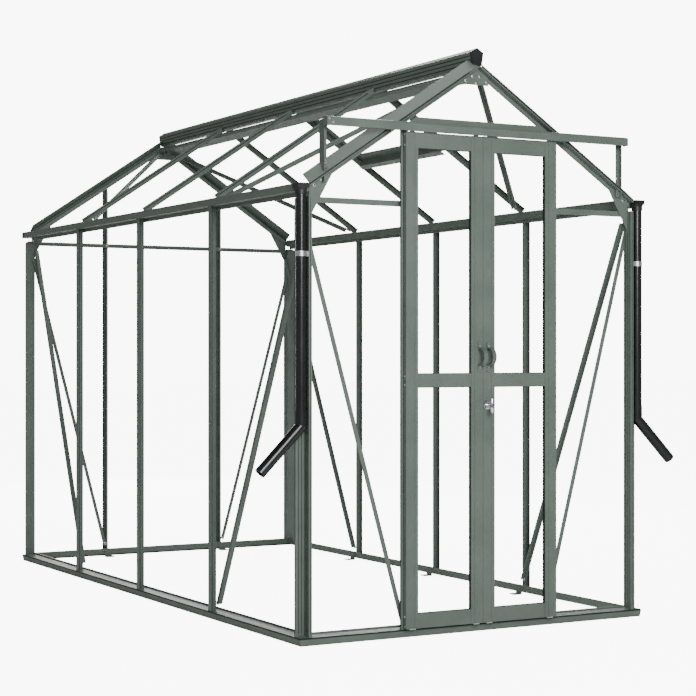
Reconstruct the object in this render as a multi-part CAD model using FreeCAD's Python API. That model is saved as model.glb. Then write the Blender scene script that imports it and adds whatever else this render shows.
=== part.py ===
"""Frame of a narrow walk-in greenhouse, in millimetres, +Z up, the doors facing -Y.

The origin is on the ground, at the middle of the whole part's box. Powder-coated aluminium bars are
bolted together with gusset plates and braces. Two doors hang from rollers in a track, a vent is hinged
on the ridge, and gutters run along both eaves to downpipes at the front corners.
"""
import FreeCAD, Part
import math
import os

V = FreeCAD.Vector

# ---- Driving sizes ----
bay_pitch = 620.0              # one 610 mm pane and its share of a bar
bay_count = 4
end_bay_extra = 32.5           # from the end of the base to the first bay line
base_width = 1282.0
eaves_z = 1388.0               # top of the gutters
roof_angle = 33.5              # degrees
roof_half_span = 641.0         # level run from the ridge to the gutters' outer line
roof_drop = 0.2687             # the roof planes pass this far under the gutters' top there
ridge_rise = 34.0              # from the meeting of the roof planes to the ridge's top

base_depth = 42.0              # inwards, seen from above
base_band = 21.0               # height of the outer band
base_lip = 34.5                # height of the inner upstand
base_leg_z = 10.0              # the inner upstand starts this high
sheet = 2.0                    # wall of the extruded sections

post_leg = 11.0                # width of a corner post's front leg
post_notch = 29.0              # outer notch that the downpipe stands in
post_depth = 41.0
post_notch_depth = 31.0

stud_width = 23.0
stud_depth = 23.0
roof_bar_width = 28.0
roof_bar_depth = 21.0
rafter_inner = 38.4            # the rafter's inner edge lies this far under the roof plane
rafter_height = 47.5           # square to the slope, from the inner to the outer edge
rafter_width = 45.0
rafter_web = 14.0              # flat strip along the inner edge, where the gussets bolt on
rafter_recess = 22.5           # from the gable's face back to that strip
gable_stud_x = 270.0
door_post_x = 277.0
door_post_width = 25.0

gutter_outset = 5.0            # the gutter stands this far out past the base
gutter_width = 50.0
gutter_height = 24.0
gutter_web = 13.0
gutter_web_inset = 32.0        # from the gutter's outer wall to its lower web
gutter_setback = 33.0          # from the end of the base to the gutter's front end
pipe_radius = 16.0
pipe_wall = 1.5
pipe_inset = 8.0               # from the end of the base to the middle of the downpipe
pipe_setback = 12.0
elbow_z = 667.0
shoe_drop = 137.0
clip_z = 1176.0

brace_leg = 15.0
brace_wall = 2.0
transom_z = 1333.0
transom_height = 17.0
lintel_z = 1575.0
lintel_height = 35.0

door_width = 283.0
door_gap = 1.0                 # between the two closed doors
door_thickness = 15.0
door_clear = 2.0               # between the doors and the base
door_bottom_z = 28.0
door_top_z = 1561.0
stile_width = 44.0
top_rail_height = 49.0
middle_rail_z = 772.0
middle_rail_height = 43.0
bottom_rail_height = 46.0
door_travel = 270.0

track_half_length = 563.0
track_z = 1562.0
track_height = 28.0
track_depth = 29.0
bracket_x = 545.0
bracket_setback = 12.0
roller_radius = 8.0
roller_width = 5.0
roller_inset = 24.0            # from a door's edge to the axis of its roller
axle_radius = 2.0
axle_clear = 0.05
wheel_lift = 0.25              # between a wheel and its ledge

handle_length = 96.0
handle_screws = 65.0
handle_width = 13.0
handle_reach = 40.0
handle_middle_z = 867.0
handle_inset = 14.0
lock_x = 14.0
lock_z = 714.0
rose_radius = 14.0
knob_reach = 38.0
knob_radius = 8.0
knob_tip = 2.5
knob_half = 26.0
spindle_radius = 5.0
spindle_clear = 0.08

vent_bay = 1                   # the second bay from the front
vent_foot_x = 284.0            # where the vent's lower edge stands over the floor
vent_rail = 24.0
vent_thickness = 10.0
vent_gap = 0.3                 # between the closed vent and the bars that it rests over
sill_lip = 30.0
stay_length = 190.0
stay_inset = 75.0
knuckle_radius = 2.8
pin_radius = 1.5
pin_clear = 0.1
hinge_radius = 3.0

bolt_head_radius = 5.0
bolt_head_height = 3.0
anchor_hole_radius = 3.5

# ---- Places worked out from them ----
base_length = bay_pitch * bay_count + 2 * end_bay_extra
front = (door_clear + door_thickness + handle_reach - base_length) / 2
rear = front + base_length
half = base_width / 2
bay_lines = [front + end_bay_extra + bay_pitch * i for i in range(1, bay_count)]
cos_roof = math.cos(math.radians(roof_angle))
sin_roof = math.sin(math.radians(roof_angle))
tan_roof = math.tan(math.radians(roof_angle))
roof_peak_z = eaves_z + roof_half_span * tan_roof - roof_drop
ridge_top_z = roof_peak_z + ridge_rise
pipe_x = base_width / 2 - pipe_inset
door_back = front - door_clear
door_face = door_back - door_thickness
eaves_x = half - post_notch - sheet      # where the roof bars end
gutter_outer = half + gutter_outset
gutter_inner = gutter_outer - gutter_width
gutter_bottom = eaves_z - gutter_height - gutter_web
sides = (("left", -1), ("right", 1))
ends = (("front", 1), ("rear", -1))


def end_y(end):
    """The y of the base's outer face at one end: end 1 is the front, -1 the rear."""
    return front if end == 1 else rear


# ---- Shapes ----
def box(x, y, z):
    """A block between two x, two y and two z."""
    low = V(min(x), min(y), min(z))
    return Part.makeBox(max(x) - low.x, max(y) - low.y, max(z) - low.z, low)


def bar(section, start, across, up, run):
    """A section of (across, up) points at start, pulled along the vector run."""
    points = [start + across * a + up * b for a, b in section]
    wire = Part.makePolygon(points + [points[0]])
    return Part.Face(wire).extrude(run)


def rod(start, direction, radius, length):
    return Part.makeCylinder(radius, length, start, direction)


def tube(start, direction, outer, inner, length):
    return rod(start, direction, outer, length).cut(rod(start, direction, inner, length))


def bolt(place, out):
    """A low domed bolt head standing on a face."""
    head = rod(place, out, bolt_head_radius, bolt_head_height)
    edges = [e for e in head.Edges if e.BoundBox.Center.sub(place).dot(out) > bolt_head_height * 0.9]
    return head.makeFillet(bolt_head_height * 0.45, edges)


def save(node, solids):
    os.makedirs("parts", exist_ok=True)
    solids = [s.removeSplitter() for s in solids]
    shape = solids[0] if len(solids) == 1 else Part.makeCompound(solids)
    shape.exportStep("parts/" + node + ".step")


# ---- Base ----
def base_section(hollow):
    """Outer band, groove, sloping ledge and inner upstand: (inwards, height) points."""
    outer = [(3, 0), (0, base_band - 2), (0, base_band), (5, base_band), (5, base_band + 2),
             (1, base_band + 2), (1, base_band + 4), (base_depth - 4, base_lip - 5),
             (base_depth - 4, base_lip), (base_depth, base_lip), (base_depth, base_leg_z)]
    if not hollow:
        return outer + [(base_depth - sheet, 0)]
    inner = [(base_depth - sheet, base_leg_z), (base_depth - sheet, base_lip - 7),
             (7, base_band + 3 - sheet / 2), (7, base_band - 2), (sheet + 0.2, base_band - 2),
             (sheet + 3, 0)]
    return outer + inner


def base_rail(along_x, sign, hollow):
    """One rail, mitred at both ends. sign says which side of the origin's axis it lies on."""
    middle = (front + rear) / 2
    if along_x:
        place = V(-half, front if sign < 0 else rear, 0)
        length, inwards, run = base_width, V(0, -sign, 0), V(1, 0, 0)
    else:
        place = V(sign * half, front, 0)
        length, inwards, run = base_length, V(-sign, 0, 0), V(0, 1, 0)
    rail = bar(base_section(hollow), place, inwards, V(0, 0, 1), run * length)
    far = inwards * (base_depth + 1)
    mitre = [place, place + run * length, place + run * (length - base_depth - 1) + far,
             place + run * (base_depth + 1) + far]
    prism = Part.Face(Part.makePolygon(mitre + [mitre[0]])).extrude(V(0, 0, base_lip + 1))
    return rail.common(prism)


base_names = {"base_front": (True, -1), "base_rear": (True, 1),
              "base_left": (False, -1), "base_right": (False, 1)}
base_filled = [base_rail(along, sign, False) for along, sign in base_names.values()]
for name, (along, sign) in base_names.items():
    save(name, [base_rail(along, sign, True)])


def on_base(shape):
    """A bar cut to sit on the ledge of the base."""
    for rail in base_filled:
        shape = shape.cut(rail)
    return shape


# ---- Roof lines ----
def roof_z(x, depth=0.0):
    """Height of the roof plane over x, at a depth measured square to the slope."""
    return roof_peak_z - abs(x) * tan_roof - depth / cos_roof


def above_roof(depth, width):
    """Everything above the roof plane at a depth, as a solid for cutting."""
    top = ridge_top_z + 500
    reach = half + 200
    eaves = roof_z(reach, depth)
    points = [V(-reach, 0, eaves), V(0, 0, roof_z(0, depth)), V(reach, 0, eaves), V(reach, 0, top),
              V(-reach, 0, top)]
    face = Part.Face(Part.makePolygon(points + [points[0]]))
    face.translate(V(0, width[0], 0))
    return face.extrude(V(0, width[1] - width[0], 0))


ridge_half = 23.5
ridge_foot_half = 17.0
ridge_shoulder_z = ridge_top_z - 15
ridge_foot_z = ridge_top_z - 55
ridge_bottom_z = ridge_top_z - 61
ridge_setback = 16.0
cap_thickness = 8.0
wing_reach = 22.0              # how far the ridge's wings reach down each slope
wing_thickness = 3.0


def ridge_outline(grow=0.0):
    """The six-sided outline of the ridge, as (x, z) points."""
    return [(0, ridge_top_z + grow), (ridge_half + grow, ridge_shoulder_z),
            (ridge_foot_half + grow, ridge_foot_z), (ridge_foot_half / 2, ridge_bottom_z - grow),
            (-ridge_foot_half / 2, ridge_bottom_z - grow), (-ridge_foot_half - grow, ridge_foot_z),
            (-ridge_half - grow, ridge_shoulder_z)]


ridge_block = bar(ridge_outline(), V(0, front - 50, 0), V(1, 0, 0), V(0, 0, 1), V(0, base_length + 100, 0))


def ridge_beam():
    """A hollow six-sided beam with side grooves and a wing down each slope."""
    start = front + ridge_setback + cap_thickness
    length = base_length - 2 * (ridge_setback + cap_thickness)
    run = V(0, length, 0)
    beam = bar(ridge_outline(), V(0, start, 0), V(1, 0, 0), V(0, 0, 1), run)
    wall = 3.0
    inside = [(0, ridge_top_z - wall - 1), (ridge_half - wall - 1, ridge_shoulder_z - 1),
              (ridge_foot_half - wall, ridge_foot_z + 1), (-ridge_foot_half + wall, ridge_foot_z + 1),
              (-ridge_half + wall + 1, ridge_shoulder_z - 1)]
    beam = beam.cut(bar(inside, V(0, start, 0), V(1, 0, 0), V(0, 0, 1), run))
    for side in (-1, 1):
        for height in (12, 24, 36):
            edge = ridge_half - (ridge_half - ridge_foot_half) * height / (ridge_shoulder_z - ridge_foot_z)
            z = ridge_shoulder_z - height
            groove = box((side * (edge - 1.2), side * (edge + 3)), (start, start + length), (z, z + 2))
            beam = beam.cut(groove)
        near = ridge_foot_half - 3
        far = ridge_half + wing_reach
        wing = [(side * near, roof_z(near, roof_bar_depth)), (side * far, roof_z(far, roof_bar_depth)),
                (side * far, roof_z(far, roof_bar_depth + wing_thickness)),
                (side * near, roof_z(near, roof_bar_depth + wing_thickness))]
        trim = rafter_width - ridge_setback - cap_thickness
        wing_run = V(0, length - 2 * trim, 0)
        beam = beam.fuse(bar(wing, V(0, start + trim, 0), V(1, 0, 0), V(0, 0, 1), wing_run))
    return beam


save("ridge_beam", [ridge_beam()])
caps = []
for _, end in ends:
    start = end_y(end) + end * ridge_setback
    caps.append(bar(ridge_outline(), V(0, start, 0), V(1, 0, 0), V(0, 0, 1), V(0, end * cap_thickness, 0)))
save("ridge_end_caps", caps)


# ---- Gable rafters ----
bead_top = rafter_web + 9
flange_start = rafter_width - 2


def rafter_section():
    """(height from the inner edge, depth from the gable face): web, bead, seal groove, slope, flange."""
    web_back = rafter_recess + 2.5
    return [(0, rafter_recess), (rafter_web, rafter_recess), (rafter_web, 0), (rafter_web + 3.5, 0),
            (rafter_web + 3.5, 4), (rafter_web + 6.5, 4), (rafter_web + 6.5, 0), (bead_top, 0),
            (rafter_height, flange_start), (rafter_height, rafter_width),
            (rafter_height - 2.5, rafter_width), (rafter_height - 2.5, flange_start + 0.7), (bead_top, 6),
            (rafter_web + 2.5, 6),
            (rafter_web + 2.5, web_back), (0, web_back)]


def rafter_outline():
    """The same, filled in behind."""
    return [(0, rafter_recess), (rafter_web, rafter_recess), (rafter_web, 0), (bead_top, 0),
            (rafter_height, flange_start), (rafter_height, rafter_width), (0, rafter_width)]


def gable_rafter(side, end, section):
    down = V(side * cos_roof, 0, -sin_roof)
    out = V(side * sin_roof, 0, cos_roof)
    start = V(0, end_y(end), roof_z(0, rafter_inner)) - down * 60
    length = eaves_x / cos_roof + 120
    rafter = bar(section, start, out, V(0, end, 0), down * length)
    keep = box((0, side * eaves_x), (end_y(end) - end * 5, end_y(end) + end * 60), (0, ridge_top_z))
    return rafter.common(keep).cut(ridge_block)


for side_name, side in sides:
    for end_name, end in ends:
        save("rafter_" + end_name + "_" + side_name, [gable_rafter(side, end, rafter_section())])


# ---- Corner posts ----
def corner_post(side, end):
    """An L with its notch outwards: a leg in the gable and a leg in the side wall, both hollow."""
    y = end_y(end)
    outer = half - 1
    inner = outer - post_notch - post_leg
    notch = outer - post_notch
    near = y + end * 2
    far = y + end * post_depth
    step = y + end * (2 + post_notch_depth)
    leg = box((side * inner, side * notch), (near, far), (base_band, gutter_bottom))
    wing = box((side * (notch - 1), side * outer), (step, far), (base_band, gutter_bottom))
    post = leg.fuse(wing)
    for groove in (10, 20, 30):
        place = y + end * groove
        post = post.cut(box((side * inner, side * (inner + 1)), (place, place + end * 2), (0, eaves_z)))
    for groove in (9, 19):
        place = side * (outer - groove)
        post = post.cut(box((place, place - side * 2), (step, step + end * 1), (0, eaves_z)))
    post = post.cut(box((side * (inner + sheet + 1), side * (notch - sheet)),
                        (near + end * sheet, far - end * sheet), (base_lip, gutter_bottom - 60)))
    over = above_roof(rafter_inner, sorted((y - end, y + end * (rafter_width + 1))))
    return on_base(post.cut(over))


for side_name, side in sides:
    for end_name, end in ends:
        save("corner_post_" + end_name + "_" + side_name, [corner_post(side, end)])


# ---- Glazing bars ----
def bar_section(width, depth):
    """A T with two small lips under its flange and a bead on its web: (across, depth) points."""
    right = [(width / 2, 0), (width / 2, 2.5), (width / 4 + 1, 2.5), (width / 4 + 1, 7), (width / 4 - 1, 7),
             (width / 4 - 1, 2.5), (1.5, 2.5), (1.5, depth - 4), (3.5, depth - 4), (3.5, depth)]
    left = [(-a, b) for a, b in reversed(right)]
    return right + left


def wall_stud(side, y):
    section = bar_section(stud_width, stud_depth)
    place = V(side * (half - 2), y, base_band)
    run = V(0, 0, eaves_z - gutter_height - base_band)
    return on_base(bar(section, place, V(0, 1, 0), V(-side, 0, 0), run))


for side_name, side in sides:
    for number, y in enumerate(bay_lines, 1):
        save("stud_" + side_name + "_" + str(number), [wall_stud(side, y)])


def gable_stud(x, end, width):
    section = bar_section(width, stud_depth)
    place = V(x, end_y(end) + end * 2, base_band)
    stud = bar(section, place, V(1, 0, 0), V(0, end, 0), V(0, 0, ridge_top_z - base_band))
    over = above_roof(rafter_inner, sorted((end_y(end) - end, end_y(end) + end * 60)))
    return on_base(stud.cut(over))


save("rear_studs", [gable_stud(side * gable_stud_x, -1, stud_width) for _, side in sides])

lintel_box = box((-half, half), (front, front + 60), (lintel_z, lintel_z + lintel_height))
save("door_posts", [gable_stud(side * door_post_x, 1, door_post_width).cut(lintel_box) for _, side in sides])


def roof_bar(side, y):
    down = V(side * cos_roof, 0, -sin_roof)
    inwards = V(-side * sin_roof, 0, -cos_roof)
    section = bar_section(roof_bar_width, roof_bar_depth - 0.5)
    shape = bar(section, V(0, y, roof_z(0)), V(0, 1, 0), inwards, down * (eaves_x / cos_roof + 60))
    keep = box((0, side * (eaves_x + 6)), (y - 60, y + 60), (0, ridge_top_z))
    return shape.common(keep).cut(ridge_block)


for side_name, side in sides:
    for number, y in enumerate(bay_lines, 1):
        save("roof_bar_" + side_name + "_" + str(number), [roof_bar(side, y)])


# ---- Transoms and lintel ----
def angle(start, run, first, second, leg=brace_leg, wall=brace_wall):
    """An angle bar: its two legs lie along first and second from the corner at start."""
    section = [(0, 0), (leg, 0), (leg, wall), (wall, wall), (wall, leg), (0, leg)]
    return bar(section, start, first, second, run)


post_inner = half - 1 - post_notch - post_leg
stud_back = 2 + stud_depth
rear_start = V(-post_inner, rear - stud_back, transom_z)
rear_transom = angle(rear_start, V(2 * post_inner, 0, 0), V(0, 0, 1), V(0, -1, 0), transom_height)
save("rear_transom", [rear_transom])
front_transoms = []
for _, side in sides:
    inner_x = door_post_x - door_post_width / 2
    start = V(side * inner_x, front + stud_back, transom_z)
    run = V(side * (post_inner - inner_x), 0, 0)
    front_transoms.append(angle(start, run, V(0, 0, 1), V(0, 1, 0), transom_height))
save("front_transoms", front_transoms)

lintel_depth = 23.0
lintel = angle(V(-half, front + 2, lintel_z), V(base_width, 0, 0), V(0, 0, 1), V(0, 1, 0), lintel_depth)
lintel = lintel.fuse(box((-half, half), (front + 2, front + 4.5), (lintel_z, lintel_z + lintel_height)))
lintel = lintel.cut(above_roof(rafter_inner, (front - 5, front + 60)))
save("door_lintel", [lintel])


# ---- Gusset plates ----
gusset_reach = post_inner - 78  # where the eaves gusset's long edge meets the rafter
gusset_foot_z = 1284.0
gusset_bolts_x = (post_inner - 43, post_inner - 17)
gusset_bolt_line = rafter_inner - 4
apex_half = 44.5
apex_foot_z = ridge_top_z - 118
apex_bolts = [(x, apex_foot_z + up) for x, up in ((13.5, 27), (39, 12), (-13.5, 27), (-39, 12), (0, 6))]
plate_face = rafter_recess - 2.0
web_edge = rafter_inner - rafter_web


def plate(points, end):
    """A plate of (x, z) points, laid on the front of the rafters' webs."""
    y = end_y(end) + end * plate_face
    return bar(points, V(0, y, 0), V(1, 0, 0), V(0, 0, 1), V(0, end * 2, 0))


def eaves_gusset(side, end):
    corner = gusset_reach + rafter_web * sin_roof
    points = [(post_inner, gusset_foot_z), (post_inner, roof_z(post_inner, web_edge)),
              (corner, roof_z(corner, web_edge)), (gusset_reach, roof_z(gusset_reach, rafter_inner))]
    return plate([(side * x, z) for x, z in points], end)


def apex_gusset(end):
    right = [(apex_half, apex_foot_z), (apex_half, roof_z(apex_half, web_edge))]
    left = [(-x, z) for x, z in reversed(right)]
    return plate(right + [(0, roof_z(0, web_edge))] + left, end)


gussets = [eaves_gusset(side, end) for _, side in sides for _, end in ends]
gussets += [apex_gusset(end).cut(ridge_block) for _, end in ends]
save("gusset_plates", gussets)


# ---- Braces ----
brace_end = 60.0               # the flange is cut away over this length at both ends
gable_brace_top = 1279.0
wall_brace_top = 1322.0
brace_foot_z = 46.0
brace_foot_offset = 9.0        # from the middle of the stud that it is bolted to
door_brace_offset = -6.0


def brace(start, finish, face, ends_flat=brace_end):
    """An angle brace between two points, its flat leg against the wall that face points out of."""
    run = finish - start
    along = V(run)
    along.normalize()
    across = along.cross(face)
    across.normalize()
    corner = start - across * (brace_leg / 2)
    flat = [(0, 0), (brace_leg, 0), (brace_leg, brace_wall), (0, brace_wall)]
    flange = [(0, brace_wall), (brace_wall, brace_wall), (brace_wall, brace_leg), (0, brace_leg)]
    shape = bar(flat, corner, across, -face, run)
    return shape.fuse(bar(flange, corner + along * ends_flat, across, -face, run - along * (2 * ends_flat)))


brace_bolts = []
wall_braces = []
roof_braces = []
for _, side in sides:
    for _, end in ends:
        y = end_y(end)
        line = bay_lines[0] if end == 1 else bay_lines[-1]
        top = V(side * (post_inner - 0.6), y + end * (post_depth - 9), wall_brace_top)
        foot = V(side * (half - stud_back), line - end * brace_foot_offset, brace_foot_z)
        wall_braces.append(brace(top, foot, V(side, 0, 0)))
        brace_bolts.append((foot + V(-side * (brace_wall + 0.3), 0, 9), V(-side, 0, 0)))
        foot_x = door_post_x + door_brace_offset if end == 1 else gable_stud_x + brace_foot_offset
        top = V(side * (post_inner + 8), y + end * (post_depth + 1.0), gable_brace_top)
        foot = V(side * foot_x, y + end * stud_back, brace_foot_z)
        wall_braces.append(brace(top, foot, V(0, -end, 0)))
        brace_bolts.append((foot + V(0, end * (brace_wall + 0.3), 9), V(0, end, 0)))
        seat = V(side * sin_roof, 0, cos_roof)
        lug_y = y + end * (rafter_recess + 2.5)
        lug_z = roof_z(14, 30)
        lug = box((side * 8, side * 20), (lug_y, lug_y + end * 11), (lug_z - 9, lug_z + 6))
        top = V(side * 14, lug_y + end * 8, roof_z(14, 24.5))
        foot_x = eaves_x - 24
        foot = V(side * foot_x, line, roof_z(foot_x, roof_bar_depth - 0.3))
        roof_braces.append(lug.fuse(brace(top, foot, seat, 20.0)))
save("wall_braces", wall_braces)
save("roof_braces", roof_braces)


# ---- Base cleats ----
cleat_width = 34.0
cleat_top = 30.0


def cleat(x, y, inwards):
    """A small angle against the base's inner face, with a foot anchored to the ground."""
    across = V(-inwards.y, inwards.x, 0)
    start = V(x, y, 0) - across * (cleat_width / 2)
    section = [(0, 0), (32, 0), (32, 3), (3, 3), (3, cleat_top), (0, cleat_top)]
    shape = bar(section, start, inwards, V(0, 0, 1), across * cleat_width)
    hole = V(x, y, -1) + inwards * 20
    return shape.cut(rod(hole, V(0, 0, 1), anchor_hole_radius, 6))


cleats = []
for _, side in sides:
    for y in bay_lines:
        cleats.append(cleat(side * (half - base_depth), y, V(-side, 0, 0)))
for _, side in sides:
    cleats.append(cleat(side * gable_stud_x, rear - base_depth, V(0, -1, 0)))
    cleats.append(cleat(side * door_post_x, front + base_depth, V(0, 1, 0)))
save("base_cleats", cleats)


# ---- Gutters and rainwater fittings ----
def gutter_section():
    """(inwards from the outer wall, height below the top) points of the trough and its lower web."""
    inner_top = roof_z(gutter_inner + 2.5, roof_bar_depth - 0.5) - eaves_z
    web = gutter_web_inset
    foot = -gutter_height - gutter_web
    return [(0, 0), (5, 0), (5, -2), (2.5, -2), (2.5, -gutter_height + 2.5),
            (gutter_width - 2.5, -gutter_height + 2.5), (gutter_width - 2.5, inner_top),
            (gutter_width, inner_top), (gutter_width, -gutter_height), (web + 2.5, -gutter_height),
            (web + 2.5, foot), (web, foot), (web, -gutter_height), (0, -gutter_height)]


gutter_front = front + gutter_setback
gutter_rear = rear - post_depth + 4
for side_name, side in sides:
    start = V(side * gutter_outer, gutter_front, eaves_z)
    shape = bar(gutter_section(), start, V(-side, 0, 0), V(0, 0, 1), V(0, gutter_rear - gutter_front, 0))
    save("eaves_gutter_" + side_name, [shape])

end_fittings = []
stop_thickness = 3.0
for _, side in sides:
    outline = [(0, 0), (gutter_width, 0), (gutter_width, -gutter_height), (0, -gutter_height)]
    stop = bar(outline, V(side * gutter_outer, gutter_rear, eaves_z), V(-side, 0, 0), V(0, 0, 1),
               V(0, stop_thickness, 0))
    past = box((side * (eaves_x + 2), side * gutter_outer), (gutter_rear + 1, rear - 9),
               (eaves_z - gutter_height, eaves_z))
    end_fittings.append(stop.fuse(past))
    outlet_outer = pipe_x + pipe_radius + 2
    outlet_inner = eaves_x + 3
    neck = pipe_radius + 2
    pipe_y = front + pipe_setback
    across = (side * outlet_inner, side * outlet_outer)
    head = box(across, (pipe_y - neck, gutter_front), (eaves_z - 14, eaves_z))
    taper = Part.makeCone(neck, neck + 3, 7, V(side * pipe_x, pipe_y, eaves_z - 21))
    taper = taper.common(box(across, (pipe_y - neck, gutter_front), (0, ridge_top_z)))
    collar = rod(V(side * pipe_x, pipe_y, eaves_z - 34), V(0, 0, 1), neck, 14)
    shape = head.fuse(taper).fuse(collar)
    shape = shape.cut(rod(V(side * pipe_x, pipe_y, 0), V(0, 0, 1), pipe_radius, eaves_z - 20))
    shape = shape.cut(rod(V(side * pipe_x, pipe_y, 0), V(0, 0, 1), pipe_radius - pipe_wall, eaves_z - 3))
    throat = box((side * (outlet_inner + sheet), side * (outlet_outer - sheet)), (pipe_y, gutter_front),
                 (eaves_z - 12, eaves_z - 3))
    end_fittings.append(shape.cut(throat))
save("gutter_end_fittings", end_fittings)

pipes = []
shoes = []
clips = []
for _, side in sides:
    top = V(side * pipe_x, front + pipe_setback, eaves_z - 20)
    pipe_foot = V(top.x, top.y, elbow_z)
    pipes.append(tube(pipe_foot, V(0, 0, 1), pipe_radius, pipe_radius - pipe_wall, top.z - elbow_z))
    socket = pipe_radius + 1.6
    slope = V(side, 0, -1)
    slope.normalize()
    knee = V(top.x, top.y, elbow_z - 8)
    leg = shoe_drop * math.sqrt(2)
    shoe = rod(knee, V(0, 0, 1), socket, 45).fuse(rod(knee, slope, socket, leg))
    shoe = shoe.fuse(Part.makeSphere(socket, knee))
    shoe = shoe.cut(rod(knee, V(0, 0, 1), pipe_radius - pipe_wall, 60))
    shoe = shoe.cut(rod(knee, slope, pipe_radius - pipe_wall, leg + 10))
    shoe = shoe.cut(Part.makeSphere(pipe_radius - pipe_wall, knee))
    shoe = shoe.cut(rod(V(top.x, top.y, elbow_z), V(0, 0, 1), pipe_radius, 60))
    shoes.append(shoe)
    ring = tube(V(top.x, top.y, clip_z - 8), V(0, 0, 1), pipe_radius + 1.2, pipe_radius, 16)
    leg_outer = post_inner + post_leg
    strap_x = (side * leg_outer, side * (pipe_x - pipe_radius + 4))
    strap = box(strap_x, (top.y - 9, top.y - 7.5), (clip_z - 8, clip_z + 8))
    strap = strap.cut(rod(V(top.x, top.y, 0), V(0, 0, 1), pipe_radius, eaves_z))
    clips.append(ring.fuse(strap))
save("downpipes", pipes)
save("downpipe_shoes", shoes)
save("pipe_clips", clips)


# ---- Door track ----
track_back = door_back + door_clear - 0.5
track_front = track_back - track_depth
wheel_y = door_back - door_thickness / 2
ledge_z = track_z + 5.0
track_wall = 2.0


def door_track():
    """A channel open downwards: front face, rounded top, back wall and the ledge that the rollers run on."""
    top = track_z + track_height
    y0, y1 = track_front, track_back
    ledge_edge = wheel_y + roller_width / 2 - 3.5
    outline = [(y0, track_z), (y0, top - 6), (y0 + 3, top - 2), (y0 + 8, top), (y1, top), (y1, ledge_z - 2),
               (ledge_edge, ledge_z - 2), (ledge_edge, ledge_z), (y1 - track_wall, ledge_z),
               (y1 - track_wall, top - track_wall), (y0 + 8.5, top - track_wall), (y0 + 4, top - 4),
               (y0 + track_wall, top - 7), (y0 + track_wall, track_z + track_wall),
               (y0 + 5, track_z + track_wall), (y0 + 5, track_z)]
    run = V(2 * track_half_length, 0, 0)
    return bar(outline, V(-track_half_length, 0, 0), V(0, 1, 0), V(0, 0, 1), run)


save("door_track", [door_track()])

brackets = []
bracket_bolts = []
for _, side in sides:
    outer_x = bracket_x + brace_leg
    y = front + bracket_setback
    tall = (roof_z(outer_x, rafter_inner), track_z + track_height - 6)
    leg = box((side * bracket_x, side * outer_x), (y, y + brace_wall), tall)
    arm = box((side * (outer_x - brace_wall), side * outer_x), (track_back, y + brace_wall), tall)
    brackets.append(leg.fuse(arm).cut(gable_rafter(side, 1, rafter_outline())))
    bracket_bolts.append(V(side * (bracket_x + 6), y, roof_z(bracket_x + 6) + 8.7))
save("track_brackets", brackets)


# ---- Doors ----
def door_left_edge(side):
    """The x of a door's edge at the meeting line and of its outer edge."""
    meeting = side * door_gap / 2
    return meeting, meeting + side * (door_width - door_gap / 2)


def stile(x_outer, x_inner):
    """A hollow door stile with a bead near its inner edge on both faces."""
    tall = box((x_outer, x_inner), (door_face, door_back), (door_bottom_z, door_top_z))
    step = 1 if x_inner > x_outer else -1
    bead = x_inner - step * 12
    groove = box((bead, bead - step * 1.6), (door_face, door_face + 1), (door_bottom_z, door_top_z))
    inside = box((x_outer + step * sheet, x_inner - step * sheet), (door_face + sheet, door_back - sheet),
                 (door_bottom_z - 1, door_top_z + 1))
    return tall.cut(groove).cut(inside)


def door_rail(x0, x1, z, height):
    near, far = door_face + 1.5, door_back - 1
    outer = box((x0, x1), (near, far), (z, z + height))
    return outer.cut(box((x0, x1), (near + sheet, far - sheet), (z + sheet, z + height - sheet)))


def bow_handle(x):
    """A flat bow: two feet on the stile and an arched grip between them."""
    rise = handle_reach
    thick = 5.0
    foot = (handle_length - handle_screws) / 2 + 8
    z0 = handle_middle_z - handle_length / 2
    z1 = handle_middle_z + handle_length / 2
    y = door_face

    def arch(reach, inset):
        start = V(0, y, z0 + foot + inset)
        middle = V(0, y - reach, handle_middle_z)
        finish = V(0, y, z1 - foot - inset)
        return start, Part.Arc(start, middle, finish).toShape(), finish

    start, outer, finish = arch(rise, -thick * 0.4)
    low, inner, high = arch(rise - thick, thick * 0.8)
    wire = Part.Wire([outer, Part.makeLine(finish, high), inner, Part.makeLine(low, start)])
    grip = Part.Face(wire).extrude(V(handle_width, 0, 0))
    shape = grip
    for z in (z0, z1 - foot):
        shape = shape.fuse(box((0, handle_width), (y, y - 3), (z, z + foot)))
    shape.translate(V(x - handle_width / 2, 0, 0))
    for z in (-handle_screws / 2, handle_screws / 2):
        hole = V(x, door_face - 20, handle_middle_z + z)
        shape = shape.cut(rod(hole, V(0, 1, 0), 2.2, 25))
    return shape


def screw(x, z, y):
    """A raised screw head with its shank."""
    head = rod(V(x, y, z), V(0, -1, 0), 3.6, 2.2)
    return head.fuse(rod(V(x, y, z), V(0, 1, 0), 2.1, 3 + sheet))


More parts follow.
